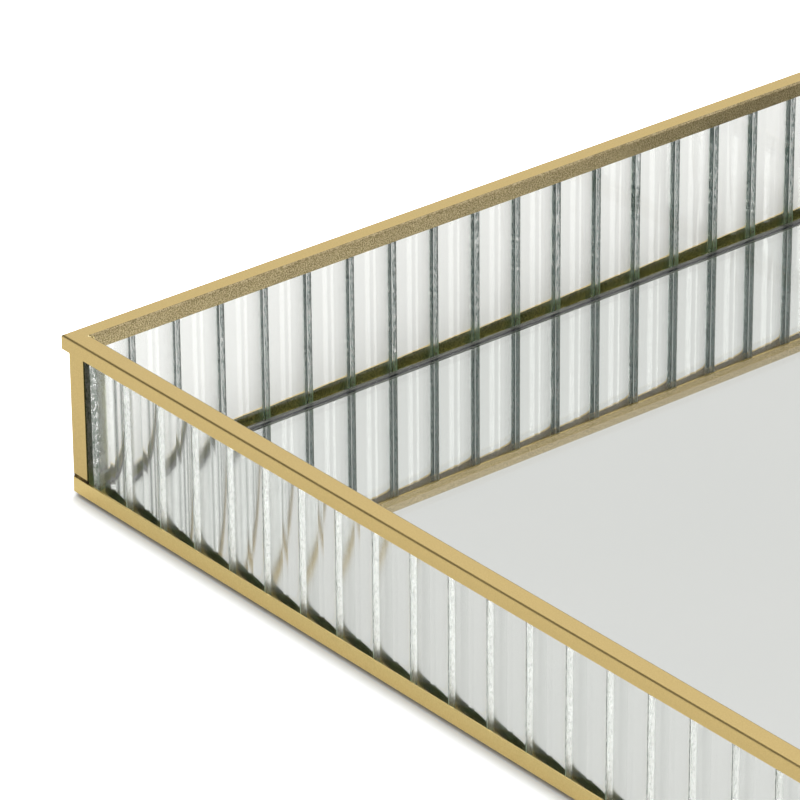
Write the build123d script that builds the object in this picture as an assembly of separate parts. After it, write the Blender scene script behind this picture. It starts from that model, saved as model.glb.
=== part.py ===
from build123d import *
import math
import os

# Vanity tray: a sheet-metal frame with walls of fluted glass strips around a mirror.
# Millimetres. X runs along the long side, Y along the short side and Z up.
# The origin is the centre of the underside of the felt, which rests on the table.

# ---- driving dimensions ----
PITCH = 15.0              # one glass strip with its share of the gap
LONG_STRIPS = 26          # strips in the front wall and in the back wall
SHORT_STRIPS = 19         # strips in the left wall and in the right wall
FRAME_HEIGHT = 47.4       # underside of the bottom rail to the top of the top rail
FELT_LIFT = 1.0           # felt under the bottom rail

RAIL_WIDTH = 5.7          # top rail, outside to inside
RAIL_SHEET = 0.7          # metal thickness of the top rail
OUTER_FLANGE = 4.3        # top rail, how far it reaches down outside
INNER_FLANGE = 4.5        # top rail, how far it reaches down inside
RAIL_BEND = 0.7           # outside bend radius of the top rail

INSET = 1.3               # posts and bottom rail stand this far inside the top rail
LIP_SHEET = 0.5           # metal thickness of posts and bottom rail
LIP_HEIGHT = 4.7          # bottom rail, upright leg
WEB_WIDTH = 11.0          # bottom rail, leg turned in under the mirror
LIP_BEND = 0.35           # outside bend radius of posts and bottom rail
POST_LONG_SIDE = 6.4      # leg of a corner post on the front or back wall
POST_SHORT_SIDE = 9.6     # leg of a corner post on the left or right wall
POST_SEAM = 1.2           # seam between a post and the bottom rail under it
SEAM_SETBACK = 0.15       # solder in that seam to the outer face of the post

GLASS_EDGE = 3.0          # thickness of a strip along its ground edges
GLASS_HOLLOW = 1.2        # depth of the flute in a strip's outer face
GLASS_GAP = 0.35          # gap between two strips
GLASS_ARRIS = 0.15        # flat left along each edge of the flute
BEAD_WIDTH = 2.2          # bead down the middle of the flute
BEAD_RISE = 0.06          # height of that bead
FIT = 0.05                # clearance between the glass and the metal around it

MIRROR_GAP = 2.0          # mirror edge to the inner faces of the strips
MIRROR_THICK = 2.95
BACKING_THICK = 0.05      # silver and paint on the back of the mirror
BOARD_THICK = 0.3         # board between the mirror and the webs
FELT_INSET = 2.0          # felt edge to the outer face of the bottom rail
FELT_GAP = 0.2            # raised middle of the felt to the webs around it

SOLDER_SIZE = 1.3         # leg of the bead in each inside corner of the top rail
SOLDER_SCOOP = 1.22       # radius of the bead's hollow face
SOLDER_SETBACK = 0.2      # bead ends to the top and to the lower edge of the rail
DROP_RADIUS = 1.5         # drop of solder on top of each mitre
DROP_OFFSET = 0.5         # middle of the drop to the inner faces of the two rails
DROP_RISE = 0.3           # drop above the top rail

CORNER_LONG = 9.6         # outside plane to the first strip of the front and back walls
CORNER_SHORT = 5.5        # outside plane to the first strip of the left and right walls
STRIPS_PER_NODE = 3       # neighbours that share one node

# ---- worked out ----
GLASS_INNER = RAIL_WIDTH - RAIL_SHEET - FIT          # inner faces of the strips, from the outside plane
GLASS_OUTER = GLASS_INNER - GLASS_EDGE
LENGTH = LONG_STRIPS * PITCH + 2 * CORNER_LONG
WIDTH = SHORT_STRIPS * PITCH + 2 * CORNER_SHORT
RAIL_BASE = FELT_LIFT
RAIL_TOP = FELT_LIFT + FRAME_HEIGHT
WEB_TOP = RAIL_BASE + LIP_SHEET
LIP_TOP = RAIL_BASE + LIP_HEIGHT
GLASS_BOTTOM = WEB_TOP + FIT
GLASS_TOP = RAIL_TOP - RAIL_SHEET - FIT
FLUTE_CHORD = PITCH - GLASS_GAP - 2 * GLASS_ARRIS    # width of the flute
FLUTE_RADIUS = FLUTE_CHORD ** 2 / (8 * GLASS_HOLLOW) + GLASS_HOLLOW / 2
MIRROR_EDGE = GLASS_INNER + MIRROR_GAP               # mirror edge, from the outside plane

# A wall frame has its origin on the table under the middle of the wall's outside plane,
# with its own X along the wall and its own Y pointing into the tray.
WALLS = {
    "front": (Location((0, -WIDTH / 2, 0)), LENGTH, LONG_STRIPS),
    "right": (Location((LENGTH / 2, 0, 0), (0, 0, 90)), WIDTH, SHORT_STRIPS),
    "back": (Location((0, WIDTH / 2, 0), (0, 0, 180)), LENGTH, LONG_STRIPS),
    "left": (Location((-LENGTH / 2, 0, 0), (0, 0, -90)), WIDTH, SHORT_STRIPS),
}
# A corner frame has its origin on the table at the outside corner of the top rail,
# with its own X and Y running along the two walls into the tray.
# The flag says whether its own X runs along a long wall.
CORNERS = {
    "front_left": (Location((-LENGTH / 2, -WIDTH / 2, 0)), True),
    "front_right": (Location((LENGTH / 2, -WIDTH / 2, 0), (0, 0, 90)), False),
    "back_right": (Location((LENGTH / 2, WIDTH / 2, 0), (0, 0, 180)), True),
    "back_left": (Location((-LENGTH / 2, WIDTH / 2, 0), (0, 0, -90)), False),
}

# The sheets that lie on the webs, from the lowest up.
BASE_LAYERS = {
    "backing_board": BOARD_THICK,
    "mirror_backing": BACKING_THICK,
    "mirror_glass": MIRROR_THICK,
}

made = {}


def box(x0, x1, y0, y1, z0, z1):
    """A box given by its low and high faces."""
    return Pos((x0 + x1) / 2, (y0 + y1) / 2, (z0 + z1) / 2) * Box(x1 - x0, y1 - y0, z1 - z0)


def round_edges(solid, near, radius):
    """Round the long edges that pass through the given (y, z) places of a wall section."""
    picked = [
        edge for edge in solid.edges()
        if any(math.dist((edge.center().Y, edge.center().Z), place) < 0.02 for place in near)
    ]
    return fillet(picked, radius)


def mitred(rail, length, inset):
    """Cut both ends of a rail at 45 degrees, so that four of them meet at the corners."""
    half = length / 2 - inset
    reach = 2 * WEB_WIDTH
    past = half + reach
    deep = inset + reach
    corner = Polygon((half, inset), (past, inset), (past, deep), (half - reach, deep), align=None)
    wedge = extrude(corner, RAIL_TOP + 1)
    return rail - wedge - mirror(wedge, Plane.YZ)


def top_rail(length):
    """Inverted channel: a flat top with a flange turned down on each side."""
    half = length / 2
    channel = box(-half, half, 0, RAIL_WIDTH, RAIL_TOP - INNER_FLANGE, RAIL_TOP)
    channel = round_edges(channel, [(0, RAIL_TOP), (RAIL_WIDTH, RAIL_TOP)], RAIL_BEND)
    channel -= box(-half, half, 0, RAIL_WIDTH / 2, 0, RAIL_TOP - OUTER_FLANGE)
    channel -= box(-half, half, RAIL_SHEET, RAIL_WIDTH - RAIL_SHEET, 0, RAIL_TOP - RAIL_SHEET)
    return mitred(channel, length, 0)


def bottom_rail(length):
    """Angle: an upright lip outside, and a web that carries the glass and the mirror."""
    half = length / 2
    rail = box(-half, half, INSET, INSET + WEB_WIDTH, RAIL_BASE, LIP_TOP)
    rail = round_edges(rail, [(INSET, RAIL_BASE)], LIP_BEND)
    rail -= box(-half, half, INSET + LIP_SHEET, INSET + WEB_WIDTH + 1, WEB_TOP, LIP_TOP + 1)
    return mitred(rail, length, INSET)


def corner_angle(outer, z0, z1, x_is_long):
    """Upright angle as wide as a corner post, with its outer faces this far inside the outside planes
    and its inner faces in line with those of the bottom rail."""
    legs = (POST_LONG_SIDE, POST_SHORT_SIDE) if x_is_long else (POST_SHORT_SIDE, POST_LONG_SIDE)
    inner = INSET + LIP_SHEET
    far_x, far_y = (INSET + leg for leg in legs)
    return box(outer, far_x, outer, far_y, z0, z1) - box(inner, far_x + 1, inner, far_y + 1, z0 - 1, z1 + 1)


def corner_post(x_is_long):
    """Angle flush with the outer faces of the bottom rail."""
    post = corner_angle(INSET, LIP_TOP + POST_SEAM, RAIL_TOP - RAIL_SHEET, x_is_long)
    bend = post.edges().filter_by(Axis.Z).sort_by(Axis((0, 0, 0), (1, 1, 0)))[0]
    return fillet(bend, LIP_BEND)


def foot_solder(x_is_long):
    """Solder in the seam between a post and the bottom rail."""
    return corner_angle(INSET + SEAM_SETBACK, LIP_TOP, LIP_TOP + POST_SEAM, x_is_long)


def corner_solder():
    """Bead of solder down the inside corner where two top rails meet, with a drop on top of their mitre."""
    near = RAIL_WIDTH
    far = RAIL_WIDTH + SOLDER_SIZE
    height = INNER_FLANGE - 2 * SOLDER_SETBACK
    bead = extrude(Polygon((near, near), (far, near), (near, far), align=None), height)
    bead -= Pos(far, far, height / 2) * Cylinder(SOLDER_SCOOP, height + 2)
    drop = Cylinder(DROP_RADIUS, 2 * DROP_RISE)
    drop = fillet(drop.edges().sort_by(Axis.Z)[-1], 0.9 * DROP_RISE)
    solder = Pos(0, 0, RAIL_TOP - SOLDER_SETBACK - height) * bead
    solder += Pos(near - DROP_OFFSET, near - DROP_OFFSET, RAIL_TOP) * drop
    stub = top_rail(6 * RAIL_WIDTH)
    along_x = Pos(3 * RAIL_WIDTH, 0, 0) * stub
    along_y = Pos(0, 3 * RAIL_WIDTH, 0) * Rot(0, 0, -90) * stub
    return solder - along_x - along_y


def glass_strip():
    """One strip, centred on its own X: flat inside, a hollow flute outside with a low bead down its middle."""
    half = (PITCH - GLASS_GAP) / 2
    chord = FLUTE_CHORD / 2
    deepest = GLASS_OUTER + GLASS_HOLLOW
    outline = Polyline(
        (-chord, GLASS_OUTER), (-half, GLASS_OUTER), (-half, GLASS_INNER),
        (half, GLASS_INNER), (half, GLASS_OUTER), (chord, GLASS_OUTER),
    )
    flute = ThreePointArc((chord, GLASS_OUTER), (0, deepest), (-chord, GLASS_OUTER))
    edge = BEAD_WIDTH / 2
    foot = deepest - FLUTE_RADIUS + math.sqrt(FLUTE_RADIUS ** 2 - edge ** 2)
    root = Polyline((-edge, foot), (-edge, GLASS_INNER), (edge, GLASS_INNER), (edge, foot))
    crown = ThreePointArc((edge, foot), (0, deepest - BEAD_RISE), (-edge, foot))
    section = make_face(outline + flute) + make_face(root + crown)
    return Pos(0, 0, GLASS_BOTTOM) * extrude(section, GLASS_TOP - GLASS_BOTTOM)


def sheet(edge, z0, z1):
    """A flat sheet over the whole tray, with its edge this far inside the outside plane."""
    return box(-LENGTH / 2 + edge, LENGTH / 2 - edge, -WIDTH / 2 + edge, WIDTH / 2 - edge, z0, z1)


# ---- frame ----
for wall, (place, length, _) in WALLS.items():
    made[f"top_rail_{wall}"] = place * top_rail(length)
    made[f"bottom_rail_{wall}"] = place * bottom_rail(length)

for corner, (place, x_is_long) in CORNERS.items():
    made[f"corner_post_{corner}"] = place * corner_post(x_is_long)
    made[f"corner_solder_{corner}"] = place * corner_solder()
    made[f"foot_solder_{corner}"] = place * foot_solder(x_is_long)

# ---- glass walls ----
strip = glass_strip()
for wall, (place, _, count) in WALLS.items():
    strips = [place * Pos((number - (count - 1) / 2) * PITCH, 0, 0) * strip for number in range(count)]
    for group, first in enumerate(range(0, count, STRIPS_PER_NODE), start=1):
        made[f"glass_strips_{wall}_{group:02d}"] = Compound(strips[first:first + STRIPS_PER_NODE])

# ---- base ----
made["felt_base"] = sheet(INSET + FELT_INSET, 0, RAIL_BASE) + sheet(INSET + WEB_WIDTH + FELT_GAP, 0, WEB_TOP)
level = WEB_TOP
for name, thickness in BASE_LAYERS.items():
    made[name] = sheet(MIRROR_EDGE, level, level + thickness)
    level += thickness

os.makedirs("parts", exist_ok=True)
for name, shape in made.items():
    export_step(shape, f"parts/{name}.step")
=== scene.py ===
import math

import bmesh
import bpy
from mathutils import Matrix, Vector, noise


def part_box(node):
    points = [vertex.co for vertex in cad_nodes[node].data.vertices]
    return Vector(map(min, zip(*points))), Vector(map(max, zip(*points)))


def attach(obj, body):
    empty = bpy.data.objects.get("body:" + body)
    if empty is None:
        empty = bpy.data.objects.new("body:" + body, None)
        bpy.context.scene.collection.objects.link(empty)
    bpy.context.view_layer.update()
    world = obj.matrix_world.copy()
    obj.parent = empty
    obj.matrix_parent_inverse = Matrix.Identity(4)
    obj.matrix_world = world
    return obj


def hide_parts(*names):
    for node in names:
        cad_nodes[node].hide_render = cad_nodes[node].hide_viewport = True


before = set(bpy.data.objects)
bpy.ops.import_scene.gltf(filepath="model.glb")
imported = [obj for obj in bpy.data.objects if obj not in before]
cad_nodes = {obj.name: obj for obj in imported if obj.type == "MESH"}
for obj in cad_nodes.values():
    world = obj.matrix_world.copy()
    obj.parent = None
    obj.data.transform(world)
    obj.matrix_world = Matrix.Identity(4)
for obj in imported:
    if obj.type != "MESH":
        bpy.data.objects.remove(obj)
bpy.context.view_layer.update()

scene = bpy.context.scene

MM = 0.001

# ---- section of a strip, in metres ----
PITCH = 15.0 * MM
GAP = 0.35 * MM
HALF_STRIP = (PITCH - GAP) / 2
HOLLOW = 1.2 * MM         # depth of the flute in the outer face
ARRIS = 0.15 * MM
BEAD = 1.1 * MM           # half width of the bead down the middle of the flute
BEAD_RISE = 0.06 * MM
THICK = 3.0 * MM          # strip thickness along its ground edges
FLUTE_STEPS = 10
BEAD_STEPS = 8
EDGE_STEPS = 5

# ---- ground edges of the strips ----
EDGE_ROWS = 64                  # rows of faces from the foot of a strip to its top
EDGE_ROUGH_SHORT = 0.09 * MM    # how far the ground edges wander in the left and right walls
EDGE_ROUGH_LONG = 0.03 * MM     # and in the front and back walls
WANDER_ACROSS = 1500            # how fast they wander, per metre across the edge
WANDER_ALONG = 900              # and per metre along it
STRIP_SEED_STEP = 3.1           # keeps the noise of two strips apart
SIDE_SEED_STEP = 2.5            # keeps the noise of the two edges of a strip apart
GROUP_SEED_STEP = 7             # keeps the strips of two nodes apart
SHARP_ANGLE = math.radians(5)
EPSILON = 1e-6

# ---- solder ----
SOLDER_LUMP = 0.40 * MM   # how far the surface of the solder wanders
SOLDER_SINK = 0.8         # share of the lump by which the smooth shape lies inside its box
SOLDER_TAPER = 0.5        # share by which the bead narrows down the corner
SOLDER_FULLNESS = 0.3     # power that lets the round shape fill the height of its box
SOLDER_DETAIL = 5         # subdivisions of the sphere
LUMPS_PER_RADIUS = 3.4
SOLDER_SEED_STEP = 7.3

# ---- mirror plate, in metres ----
PLATE_LIFT = 0.01 * MM    # underside above the painted backing
PLATE_BEVEL = 0.25 * MM
SILVER_MARGIN = 1.0 * MM  # unsilvered dark margin under the plate's edge

# ---- glass ----
GLASS_IOR = 1.52
STRIP_TINT = (0.72, 0.86, 0.70)
STRIP_DENSITY = 25.0
PLATE_TINT = (0.70, 0.80, 0.68)
PLATE_DENSITY = 5.0
FROSTED_TONES = [(0.35, 0.40, 0.36), (0.80, 0.84, 0.80), (1.0, 1.0, 1.0)]
# pale green painted light at the foot of each ground edge, where light comes into the joint
FOOT_PAINTED_LIGHT = (0.62, 0.80, 0.55)
FOOT_SHARE = 0.8          # share of the painted light at the foot of a ground edge
FOOT_TOP = 9 * MM         # height where the painted light starts
FOOT_BOTTOM = 5 * MM      # height where it is full


# ---- shader helpers ----
def set_inputs(node, values):
    for key, value in values.items():
        node.inputs[key].default_value = value


def new_material(name, values):
    """New material with the nodes and links of its tree and its shader, which gets these inputs."""
    material = bpy.data.materials.new(name)
    material.use_nodes = True
    tree = material.node_tree
    shader = tree.nodes["Principled BSDF"]
    set_inputs(shader, values)
    return material, tree.nodes, tree.links, shader


def object_coords(nodes, links, scale=(1, 1, 1)):
    coords = nodes.new("ShaderNodeTexCoord")
    mapping = nodes.new("ShaderNodeMapping")
    mapping.inputs["Scale"].default_value = scale
    links.new(coords.outputs["Object"], mapping.inputs["Vector"])
    return mapping.outputs["Vector"]


def cloudy(nodes, links, where, scale, detail, roughness):
    """Noise between 0 and 1."""
    texture = nodes.new("ShaderNodeTexNoise")
    set_inputs(texture, {"Scale": scale, "Detail": detail, "Roughness": roughness})
    links.new(where, texture.inputs["Vector"])
    return texture.outputs["Fac"]


def ramp(nodes, links, factor, positions, colours):
    """Colour that runs through the colours as the factor passes the positions."""
    node = nodes.new("ShaderNodeValToRGB")
    elements = node.color_ramp.elements
    while len(elements) < len(positions):
        elements.new(0.5)
    for element, position, colour in zip(elements, positions, colours):
        element.position = position
        element.color = (*colour, 1.0)
    links.new(factor, node.inputs["Fac"])
    return node.outputs["Color"]


def map_range(nodes, links, value, source, target=(0.0, 1.0), interpolation="LINEAR"):
    """Value moved from the source range to the target range and kept within it."""
    node = nodes.new("ShaderNodeMapRange")
    node.interpolation_type = interpolation
    set_inputs(node, {"From Min": source[0], "From Max": source[1], "To Min": target[0], "To Max": target[1]})
    links.new(value, node.inputs["Value"])
    return node.outputs["Result"]


def mix_colour(nodes, links, factor, first, second):
    """Colour between two others, each a fixed colour or the output of a node."""
    node = nodes.new("ShaderNodeMix")
    node.data_type = "RGBA"
    links.new(factor, node.inputs["Factor"])
    for socket, colour in (("A", first), ("B", second)):
        if isinstance(colour, tuple):
            node.inputs[socket].default_value = (*colour, 1.0)
        else:
            links.new(colour, node.inputs[socket])
    return node.outputs["Result"]


def dot_product(nodes, links, first):
    """Node for the dot product of a vector with its second input, which the caller sets."""
    node = nodes.new("ShaderNodeVectorMath")
    node.operation = "DOT_PRODUCT"
    links.new(first, node.inputs[0])
    return node


def bump(nodes, links, shader, height, strength, distance):
    node = nodes.new("ShaderNodeBump")
    set_inputs(node, {"Strength": strength, "Distance": distance})
    links.new(height, node.inputs["Height"])
    links.new(node.outputs["Normal"], shader.inputs["Normal"])


def absorb(nodes, links, tint, density):
    """Tint the light by how far it runs inside."""
    volume = nodes.new("ShaderNodeVolumeAbsorption")
    set_inputs(volume, {"Color": (*tint, 1.0), "Density": density})
    links.new(volume.outputs["Volume"], nodes["Material Output"].inputs["Volume"])


# ---- materials ----
INWARDS_LIMIT = -0.03     # a face looks inwards if the tray's middle lies over 30 mm in front of it


def facing_inwards(nodes, links):
    """1 on faces of the metal that look towards the middle of the tray, 0 on all others. These faces get
    painted shade.
    """
    geometry = nodes.new("ShaderNodeNewGeometry")
    flat = nodes.new("ShaderNodeVectorMath")
    flat.operation = "MULTIPLY"
    flat.inputs[1].default_value = (1.0, 1.0, 0.0)
    links.new(geometry.outputs["Position"], flat.inputs[0])
    outwards = dot_product(nodes, links, flat.outputs["Vector"])
    links.new(geometry.outputs["True Normal"], outwards.inputs[1])
    inwards = nodes.new("ShaderNodeMath")
    inwards.operation = "LESS_THAN"
    inwards.inputs[1].default_value = INWARDS_LIMIT
    links.new(outwards.outputs["Value"], inwards.inputs[0])
    return inwards.outputs["Value"]


def gold_material(name, outer_tones, shaded_inner_tones):
    """Satin gold: smooth outside, with a coarser grain and painted shade, in darker tones, on the faces
    inside the tray.
    """
    material, nodes, links, shader = new_material(name, {"Metallic": 1.0})
    where = object_coords(nodes, links)
    grain = cloudy(nodes, links, where, scale=2600.0, detail=2.0, roughness=0.6)
    stains = cloudy(nodes, links, where, scale=60.0, detail=2.0, roughness=0.5)
    smooth_tone = ramp(nodes, links, grain, (0.25, 0.75), outer_tones)
    grain_and_shade_tone = ramp(nodes, links, grain, (0.38, 0.50, 0.66), shaded_inner_tones)
    tone = mix_colour(nodes, links, facing_inwards(nodes, links), smooth_tone, grain_and_shade_tone)
    links.new(tone, shader.inputs["Base Color"])
    dullness = map_range(nodes, links, stains, source=(0.0, 1.0), target=(0.34, 0.44))
    links.new(dullness, shader.inputs["Roughness"])
    bump(nodes, links, shader, grain, strength=0.25, distance=0.04 * MM)
    return material


def solder_material(name, tones, roughness):
    """Lumpy solder, darker in the dips and brighter on the bumps."""
    material, nodes, links, shader = new_material(name, {"Metallic": 1.0, "Roughness": roughness})
    pits = cloudy(nodes, links, object_coords(nodes, links), scale=900.0, detail=3.0, roughness=0.6)
    tone = ramp(nodes, links, pits, (0.42, 0.50, 0.60), tones)
    links.new(tone, shader.inputs["Base Color"])
    bump(nodes, links, shader, pits, strength=0.8, distance=0.2 * MM)
    return material


def glass_material(name, tint, density, roughness):
    """Clear glass with smooth faces."""
    look = {
        "Base Color": (1.0, 1.0, 1.0, 1.0),
        "Transmission Weight": 1.0,
        "Roughness": roughness,
        "IOR": GLASS_IOR,
    }
    material, nodes, links, _ = new_material(name, look)
    absorb(nodes, links, tint, density)
    return material


def ground_material(name, chip_tones, clear_share, bumpiness):
    """Ground glass edge: frosted white from the air, streaked and full of chips from inside the glass.
    From inside, the dark streaks let clear_share of the light out and the bright chips all of it."""
    look = {"Specular IOR Level": 0.0, "Roughness": 0.30, "IOR": GLASS_IOR}
    material, nodes, links, shader = new_material(name, look)
    from_inside = nodes.new("ShaderNodeNewGeometry").outputs["Backfacing"]
    along = object_coords(nodes, links, scale=(1100, 1100, 750))
    streaks = cloudy(nodes, links, along, scale=1.0, detail=4.0, roughness=0.75)
    frosted = ramp(nodes, links, streaks, (0.35, 0.52, 0.62), FROSTED_TONES)
    chips = ramp(nodes, links, streaks, (0.40, 0.51, 0.59), chip_tones)
    tone = mix_colour(nodes, links, from_inside, frosted, chips)
    place = nodes.new("ShaderNodeSeparateXYZ")
    links.new(object_coords(nodes, links), place.inputs["Vector"])
    height = place.outputs["Z"]
    # painted light, pale green, towards the foot of the edge
    foot = map_range(nodes, links, height, source=(FOOT_TOP, FOOT_BOTTOM), target=(0.0, FOOT_SHARE))
    links.new(mix_colour(nodes, links, foot, tone, FOOT_PAINTED_LIGHT), shader.inputs["Base Color"])
    clear = map_range(nodes, links, streaks, source=(0.50, 0.58), target=(clear_share, 1.0))
    clear_inside = nodes.new("ShaderNodeMath")
    clear_inside.operation = "MULTIPLY"
    links.new(clear, clear_inside.inputs[0])
    links.new(from_inside, clear_inside.inputs[1])
    links.new(clear_inside.outputs["Value"], shader.inputs["Transmission Weight"])
    bump(nodes, links, shader, streaks, strength=bumpiness, distance=0.15 * MM)
    absorb(nodes, links, STRIP_TINT, STRIP_DENSITY)
    return material


def plate_edge_material(name, tones):
    """Edge of the mirror plate, with fine lines along the cut."""
    material, nodes, links, shader = new_material(name, {"Roughness": 0.45})
    along = object_coords(nodes, links, scale=(120, 120, 2600))
    lines = cloudy(nodes, links, along, scale=1.0, detail=3.0, roughness=0.7)
    tone = ramp(nodes, links, lines, (0.34, 0.50, 0.64), tones)
    links.new(tone, shader.inputs["Base Color"])
    bump(nodes, links, shader, lines, strength=0.5, distance=0.1 * MM)
    return material


def silver_material(name, tones):
    """Silver seen through the mirror glass."""
    material, nodes, links, shader = new_material(name, {"Metallic": 1.0, "Roughness": 0.0})
    stains = cloudy(nodes, links, object_coords(nodes, links), scale=9.0, detail=2.0, roughness=0.5)
    tone = ramp(nodes, links, stains, (0.3, 0.7), tones)
    links.new(tone, shader.inputs["Base Color"])
    return material


def dull_material(name, colour, roughness, scale, contrast):
    """Dull material with a fine mottle."""
    material, nodes, links, shader = new_material(name, {"Roughness": roughness})
    mottle = cloudy(nodes, links, object_coords(nodes, links), scale=scale, detail=4.0, roughness=0.7)
    dark = tuple(c * (1 - contrast) for c in colour)
    light = tuple(min(1.0, c * (1 + contrast)) for c in colour)
    tone = ramp(nodes, links, mottle, (0.3, 0.7), (dark, light))
    links.new(tone, shader.inputs["Base Color"])
    bump(nodes, links, shader, mottle, strength=0.5, distance=0.2 * MM)
    return material


RAIL_TONES = [(0.66, 0.49, 0.195), (0.76, 0.58, 0.25)]
# rails: the inner tones are painted shade on the faces inside the tray
gold = gold_material(
    "satin_gold", RAIL_TONES, [(0.18, 0.145, 0.07), (0.32, 0.255, 0.135), (0.52, 0.43, 0.26)]
)
# posts: olive inner tones, painted shade on the inside of the post
post_gold_painted_shade = gold_material(
    "post_gold_painted_shade", RAIL_TONES, [(0.09, 0.09, 0.035), (0.16, 0.155, 0.065), (0.26, 0.25, 0.12)]
)
# bottom rail: brighter outer tones are painted light, olive inner tones are painted shade
lip_gold_painted_light_and_shade = gold_material(
    "lip_gold_painted_light_and_shade",
    [(0.88, 0.68, 0.28), (0.98, 0.78, 0.35)],
    [(0.24, 0.25, 0.11), (0.42, 0.43, 0.18), (0.66, 0.65, 0.30)],
)
solder = solder_material(
    "gilded_solder", [(0.10, 0.07, 0.01), (0.75, 0.60, 0.25), (1.0, 0.92, 0.60)], roughness=0.20
)
# solder in the seams under the posts: dark all over, painted shade of the seam
seam_solder_painted_shade = solder_material(
    "seam_solder_painted_shade", [(0.03, 0.02, 0.005), (0.10, 0.06, 0.01), (0.22, 0.15, 0.05)], roughness=0.6
)
polished = glass_material("polished_glass", STRIP_TINT, STRIP_DENSITY, roughness=0.0)
soft_polished = glass_material("soft_polished_glass", STRIP_TINT, STRIP_DENSITY, roughness=0.11)
plate_glass = glass_material("plate_glass", PLATE_TINT, PLATE_DENSITY, roughness=0.0)
# left and right walls: darker copy of the ground edge, painted shade
ground_painted_shade = ground_material(
    "ground_edge_painted_shade",
    [(0.03, 0.08, 0.07), (0.36, 0.52, 0.50), (1.0, 1.0, 1.0)],
    clear_share=0.2,
    bumpiness=1.0,
)
# front and back walls: paler copy of the ground edge, painted light
ground_painted_light = ground_material(
    "ground_edge_painted_light",
    [(0.75, 0.80, 0.70), (0.95, 0.97, 0.92), (1.0, 1.0, 1.0)],
    clear_share=0.85,
    bumpiness=0.5,
)
# edges of the end strips next to the corner posts: whiter copy, painted light through the corner gap
ground_corner_painted_light = ground_material(
    "ground_edge_corner_painted_light",
    [(0.24, 0.36, 0.27), (0.97, 1.0, 0.96), (1.0, 1.0, 1.0)],
    clear_share=0.25,
    bumpiness=1.0,
)
silver = silver_material("mirror_silver", [(0.90, 0.915, 0.90), (0.92, 0.93, 0.915)])
plate_edge = plate_edge_material("plate_edge", [(0.05, 0.05, 0.04), (0.20, 0.205, 0.165), (0.62, 0.62, 0.56)])
# front and back edges of the plate: very dark green copy of the edge, painted shade
plate_edge_painted_shade = plate_edge_material(
    "plate_edge_painted_shade", [(0.01, 0.02, 0.01), (0.04, 0.08, 0.045), (0.12, 0.20, 0.13)]
)
board = dull_material("board_fibre", (0.36, 0.31, 0.24), roughness=0.9, scale=700.0, contrast=0.25)
felt = dull_material("felt_fibre", (0.05, 0.05, 0.055), roughness=0.95, scale=1600.0, contrast=0.45)
paint_black = dull_material("mirror_paint", (0.03, 0.03, 0.032), roughness=0.6, scale=900.0, contrast=0.3)


# ---- pieces ----
def new_piece(bm, name, materials):
    """Linked object made of a finished bmesh, with one material slot for each material."""
    mesh = bpy.data.meshes.new(name)
    bm.to_mesh(mesh)
    bm.free()
    for material in materials:
        mesh.materials.append(material)
    piece = bpy.data.objects.new(name, mesh)
    scene.collection.objects.link(piece)
    return piece


# ---- strips ----
POLISHED_FACE, GROUND_FACE, CORNER_FACE = range(3)
WALL_TURN = {"front": 0, "right": 90, "back": 180, "left": -90}
OUTWARDS = Matrix.Diagonal((1, -1, 1, 1))      # section +y points outwards, wall frame +y points inwards


def strip_section():
    """Section of one strip: x along the wall, y = 0 at the flat inner face and +y outwards.
    Returns the corners in order and, for the side that follows each corner, whether it is ground."""
    chord = HALF_STRIP - ARRIS
    radius = (chord ** 2 + HOLLOW ** 2) / (2 * HOLLOW)
    side = [chord - (chord - BEAD) * step / FLUTE_STEPS for step in range(FLUTE_STEPS)]
    bead = [BEAD * (1 - 2 * step / BEAD_STEPS) for step in range(BEAD_STEPS + 1)]
    flute = []
    for x in side + bead + [-x for x in reversed(side)]:
        hollow = math.sqrt(radius ** 2 - x ** 2) - (radius - HOLLOW)
        rise = BEAD_RISE * max(0.0, 1 - (x / BEAD) ** 2)
        flute.append((x, THICK - hollow + rise))
    right = [(HALF_STRIP, THICK * step / EDGE_STEPS) for step in range(EDGE_STEPS + 1)]
    left = [(-x, y) for x, y in reversed(right)]
    corners = right + flute + left
    is_ground = [True] * EDGE_STEPS + [False] * (len(flute) + 1) + [True] * EDGE_STEPS + [False]
    return corners, is_ground


SECTION, SECTION_GROUND = strip_section()


def edge_shift(x, y, z, rough, seed):
    """How far a point of the section moves inwards along x where it lies on a ground edge."""
    if not EPSILON < y < THICK - EPSILON or abs(x) < HALF_STRIP - EPSILON:
        return 0.0
    side = 1 if x > 0 else -1
    where = Vector((seed * STRIP_SEED_STEP + SIDE_SEED_STEP * side, y * WANDER_ACROSS, z * WANDER_ALONG))
    return side * (noise.noise(where) - 1) * rough


def face_slot(i, corner_side):
    """Material slot of the face that follows corner i of the section."""
    if not SECTION_GROUND[i]:
        return POLISHED_FACE
    if SECTION[i][0] * corner_side > 0:
        return CORNER_FACE
    return GROUND_FACE


def add_strip(bm, matrix, z0, z1, rough, seed, corner_side):
    """Loft the section from z0 to z1 in rows, with wandering ground edges.
    corner_side is -1 or 1 for the edge that stands next to a corner post, or 0 for none."""
    grid = []
    for row in range(EDGE_ROWS + 1):
        z = z0 + (z1 - z0) * row / EDGE_ROWS
        shifted = [Vector((x + edge_shift(x, y, z, rough, seed), y, z)) for x, y in SECTION]
        grid.append([bm.verts.new(matrix @ place) for place in shifted])
    for lower, upper in zip(grid, grid[1:]):
        for i in range(len(SECTION)):
            j = (i + 1) % len(SECTION)
            face = bm.faces.new((lower[i], lower[j], upper[j], upper[i]))
            face.smooth = True
            face.material_index = face_slot(i, corner_side)
    bm.faces.new(grid[0][::-1]).material_index = GROUND_FACE
    bm.faces.new(grid[-1]).material_index = GROUND_FACE


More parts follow.
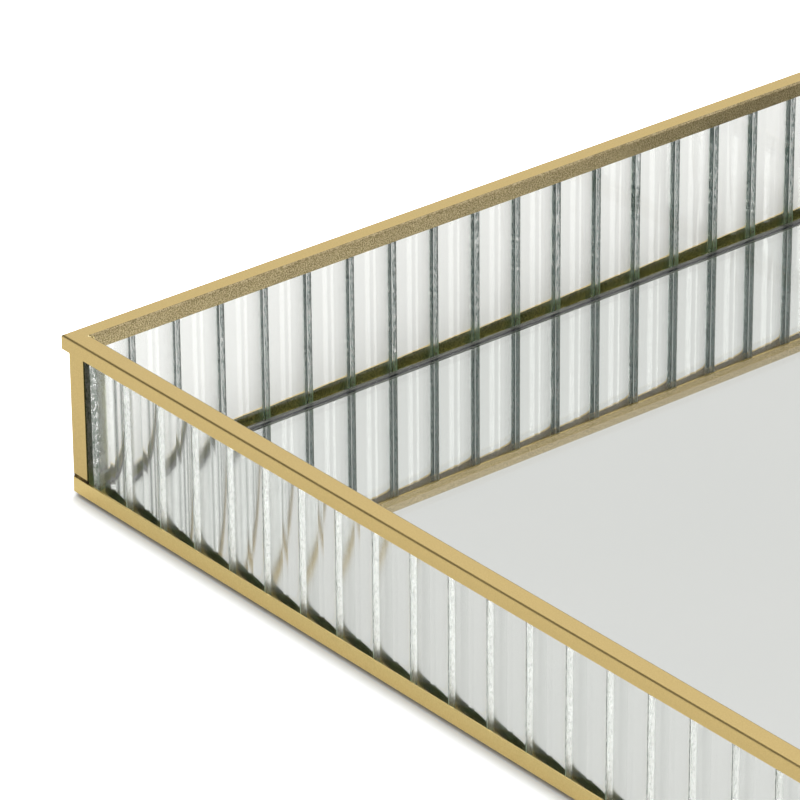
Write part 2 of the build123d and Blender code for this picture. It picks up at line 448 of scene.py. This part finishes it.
def build_strips(wall, node, group, last_group):
    """Remake the strips of one node, which fill its box side by side. Groups count along the wall."""
    box_low, box_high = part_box(node)
    along_x = wall in ("front", "back")
    span = (box_high.x - box_low.x) if along_x else (box_high.y - box_low.y)
    count = round((span + GAP) / PITCH)
    centre = (box_low + box_high) / 2
    turn = Matrix.Rotation(math.radians(WALL_TURN[wall]), 4, "Z")
    inner_face = {
        "front": Vector((centre.x, box_high.y, 0)),
        "back": Vector((centre.x, box_low.y, 0)),
        "left": Vector((box_high.x, centre.y, 0)),
        "right": Vector((box_low.x, centre.y, 0)),
    }[wall]
    rough = EDGE_ROUGH_LONG if along_x else EDGE_ROUGH_SHORT
    bm = bmesh.new()
    for i in range(count):
        along = Matrix.Translation(((i - (count - 1) / 2) * PITCH, 0, 0))
        matrix = Matrix.Translation(inner_face) @ turn @ along @ OUTWARDS
        corner_side = 0
        if group == 0 and i == 0:
            corner_side = -1
        elif group == last_group and i == count - 1:
            corner_side = 1
        add_strip(bm, matrix, box_low.z, box_high.z, rough, group * GROUP_SEED_STEP + i, corner_side)
    bmesh.ops.recalc_face_normals(bm, faces=bm.faces)
    # the front and back walls get the paler copy, painted light; the left and right walls the darker copy,
    # painted shade
    long_wall = (soft_polished, ground_painted_light, ground_corner_painted_light)
    short_wall = (polished, ground_painted_shade, ground_corner_painted_light)
    piece = new_piece(bm, node.replace("glass_strips", "strips"), long_wall if along_x else short_wall)
    piece.data.set_sharp_from_angle(angle=SHARP_ANGLE)
    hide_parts(node)
    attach(piece, "root")


for wall in WALL_TURN:
    names = sorted(name for name in cad_nodes if name.startswith(f"glass_strips_{wall}_"))
    for number, name in enumerate(names):
        build_strips(wall, name, number, len(names) - 1)


# ---- mirror ----
GLASS_FACE, SILVER_FACE, EDGE_FACE, MARGIN_FACE, SHADED_EDGE_FACE = range(5)


def build_mirror():
    """Plate of glass with a small bevel all round, silvered below inside a dark margin."""
    box_low, box_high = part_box("mirror_glass")
    box_low.z += PLATE_LIFT
    steps = [(0.0, box_low.z), (0.0, box_high.z - PLATE_BEVEL), (PLATE_BEVEL, box_high.z)]
    bm = bmesh.new()

    def ring(inset, z):
        x0, x1, y0, y1 = box_low.x + inset, box_high.x - inset, box_low.y + inset, box_high.y - inset
        return [bm.verts.new(place) for place in ((x0, y0, z), (x1, y0, z), (x1, y1, z), (x0, y1, z))]

    def band(lower, upper, long_side, short_side):
        for i in range(4):
            j = (i + 1) % 4
            face = bm.faces.new((lower[i], lower[j], upper[j], upper[i]))
            face.material_index = short_side if i % 2 else long_side

    silvered = ring(SILVER_MARGIN, box_low.z)
    foot, shoulder, top = [ring(inset, z) for inset, z in steps]
    band(silvered, foot, MARGIN_FACE, MARGIN_FACE)
    # the front and back edges get the copy with painted shade
    band(foot, shoulder, SHADED_EDGE_FACE, EDGE_FACE)
    band(shoulder, top, SHADED_EDGE_FACE, EDGE_FACE)
    bm.faces.new(silvered[::-1]).material_index = SILVER_FACE
    bm.faces.new(top).material_index = GLASS_FACE
    bmesh.ops.recalc_face_normals(bm, faces=bm.faces)
    piece = new_piece(bm, "mirror_plate", (plate_glass, silver, plate_edge, paint_black, plate_edge_painted_shade))
    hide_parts("mirror_glass")
    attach(piece, "root")


build_mirror()


# ---- solder ----
def build_solder(node, seed):
    """Lumpy bead of solder that fills the box of its node: full on top, thinner down the corner."""
    box_low, box_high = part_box(node)
    middle = (box_low + box_high) / 2
    size = (box_high - box_low) / 2
    inner_size = size - Vector((SOLDER_LUMP, SOLDER_LUMP, SOLDER_LUMP)) * SOLDER_SINK
    bm = bmesh.new()
    bmesh.ops.create_icosphere(bm, subdivisions=SOLDER_DETAIL, radius=1.0)
    for vert in bm.verts:
        x, y, z = vert.co
        lump = SOLDER_LUMP * noise.noise(vert.co * LUMPS_PER_RADIUS + Vector((seed * SOLDER_SEED_STEP, 0, 0)))
        taper = 1 if z > 0 else 1 + SOLDER_TAPER * z
        spread = Vector((x * taper, y * taper, math.copysign(abs(z) ** SOLDER_FULLNESS, z)))
        vert.co = middle + Vector(c * (r + lump) for c, r in zip(spread, inner_size))
    for face in bm.faces:
        face.smooth = True
    piece = new_piece(bm, node.replace("corner_solder", "solder"), [solder])
    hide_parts(node)
    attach(piece, "root")


for number, name in enumerate(sorted(name for name in cad_nodes if name.startswith("corner_solder_"))):
    build_solder(name, number)

# ---- materials on the nodes that stay ----
KEPT_NODES = {
    "top_rail": gold,
    "corner_post": post_gold_painted_shade,
    "bottom_rail": lip_gold_painted_light_and_shade,
    # dark solder in the seams: painted shade
    "foot_solder": seam_solder_painted_shade,
    "mirror_backing": paint_black,
    "backing_board": board,
    "felt_base": felt,
}

for name, node in cad_nodes.items():
    for prefix, material in KEPT_NODES.items():
        if name.startswith(prefix):
            node.data.materials.clear()
            node.data.materials.append(material)

# ---- floor ----
FLOOR_SIZE = 40.0
FLOOR_DROP = 0.05 * MM    # floor below the felt, so that their faces don't coincide
FLOOR_TONE = (0.90, 0.90, 0.88)
CONTACT_REACH = 7 * MM    # width of the painted contact shadow where the tray meets the floor
CONTACT_SAMPLES = 8
CONTACT_SHADOW_TONES = [(0.72, 0.74, 0.78), (1.38, 1.46, 1.56), (2.1, 2.15, 2.3)]


def build_floor():
    """Plain floor that looks white, with a narrow contact shadow painted from ambient occlusion for the
    camera.
    """
    half = FLOOR_SIZE / 2
    corners = [(-half, -half, 0), (half, -half, 0), (half, half, 0), (-half, half, 0)]
    mesh = bpy.data.meshes.new("floor")
    mesh.from_pydata(corners, [], [(0, 1, 2, 3)])
    floor = bpy.data.objects.new("floor", mesh)
    floor.location.z = -FLOOR_DROP
    scene.collection.objects.link(floor)
    material, nodes, links, shader = new_material("floor", {})
    openness = nodes.new("ShaderNodeAmbientOcclusion")
    openness.samples = CONTACT_SAMPLES
    openness.inputs["Distance"].default_value = CONTACT_REACH
    # painted shadow: darker where ambient occlusion finds the tray close
    painted_contact_shadow = ramp(nodes, links, openness.outputs["AO"], (0.45, 0.74, 0.98), CONTACT_SHADOW_TONES)
    from_camera = nodes.new("ShaderNodeLightPath").outputs["Is Camera Ray"]
    diffuse = nodes.new("ShaderNodeBsdfDiffuse")
    links.new(mix_colour(nodes, links, from_camera, FLOOR_TONE, painted_contact_shadow), diffuse.inputs["Color"])
    links.new(diffuse.outputs["BSDF"], nodes["Material Output"].inputs["Surface"])
    nodes.remove(shader)
    mesh.materials.append(material)


build_floor()

# ---- world ----
STUDIO_TONE = (0.76, 0.76, 0.75)
BACKDROP_TONE = (1.0, 1.0, 1.0)
# Patches of the studio: direction, degrees within which a patch is full, degrees beyond which it is gone
# and brightness.
PATCHES = [
    ((0, 0, 1), 10, 62, 1.6),                  # wide panel overhead
    ((-0.70, -0.457, 0.55), 20, 46, 0.10),     # dark side, which draws the outer bend of the front rail
    ((0.81, 0.376, 0.457), 6, 13, 4.0),        # small softbox
]


def build_world():
    """Even studio with soft patches of light and dark. The camera sees a white backdrop."""
    world = bpy.data.worlds.new("studio")
    scene.world = world
    world.use_nodes = True
    nodes, links = world.node_tree.nodes, world.node_tree.links
    ray = nodes.new("ShaderNodeTexCoord").outputs["Generated"]
    sky = STUDIO_TONE
    for direction, inner, outer, brightness in PATCHES:
        closeness = dot_product(nodes, links, ray)
        closeness.inputs[1].default_value = Vector(direction).normalized()
        limits = (math.cos(math.radians(outer)), math.cos(math.radians(inner)))
        reach = map_range(nodes, links, closeness.outputs["Value"], source=limits, interpolation="SMOOTHSTEP")
        sky = mix_colour(nodes, links, reach, sky, (brightness, brightness, brightness))
    from_camera = nodes.new("ShaderNodeLightPath").outputs["Is Camera Ray"]
    links.new(mix_colour(nodes, links, from_camera, sky, BACKDROP_TONE), nodes["Background"].inputs["Color"])


build_world()

# ---- camera ----
CAMERA_AT = Vector((0.90065, -0.92137, 0.72437))
CAMERA_TO = Vector((-0.15243, -0.07443, 0.025))
CAMERA_ROLL = math.radians(-0.5127)
CAMERA_LENS = 254.68      # in millimetres, for the sensor width below
SENSOR_WIDTH = 36.0
CLIP_END = 100.0          # in metres, beyond the floor's corners

camera = bpy.data.objects.new("camera", bpy.data.cameras.new("camera"))
scene.collection.objects.link(camera)
scene.camera = camera
camera.location = CAMERA_AT
aim = (CAMERA_TO - CAMERA_AT).to_track_quat("-Z", "Y").to_matrix() @ Matrix.Rotation(CAMERA_ROLL, 3, "Z")
camera.rotation_euler = aim.to_euler()
camera.data.lens = CAMERA_LENS
camera.data.sensor_width = SENSOR_WIDTH
camera.data.clip_end = CLIP_END

# ---- light paths: many bounces, because light crosses several strips and the mirror ----
scene.view_settings.view_transform = "Standard"
scene.cycles.max_bounces = 40
scene.cycles.transmission_bounces = 32
scene.cycles.glossy_bounces = 16
scene.cycles.diffuse_bounces = 4
scene.cycles.transparent_max_bounces = 16
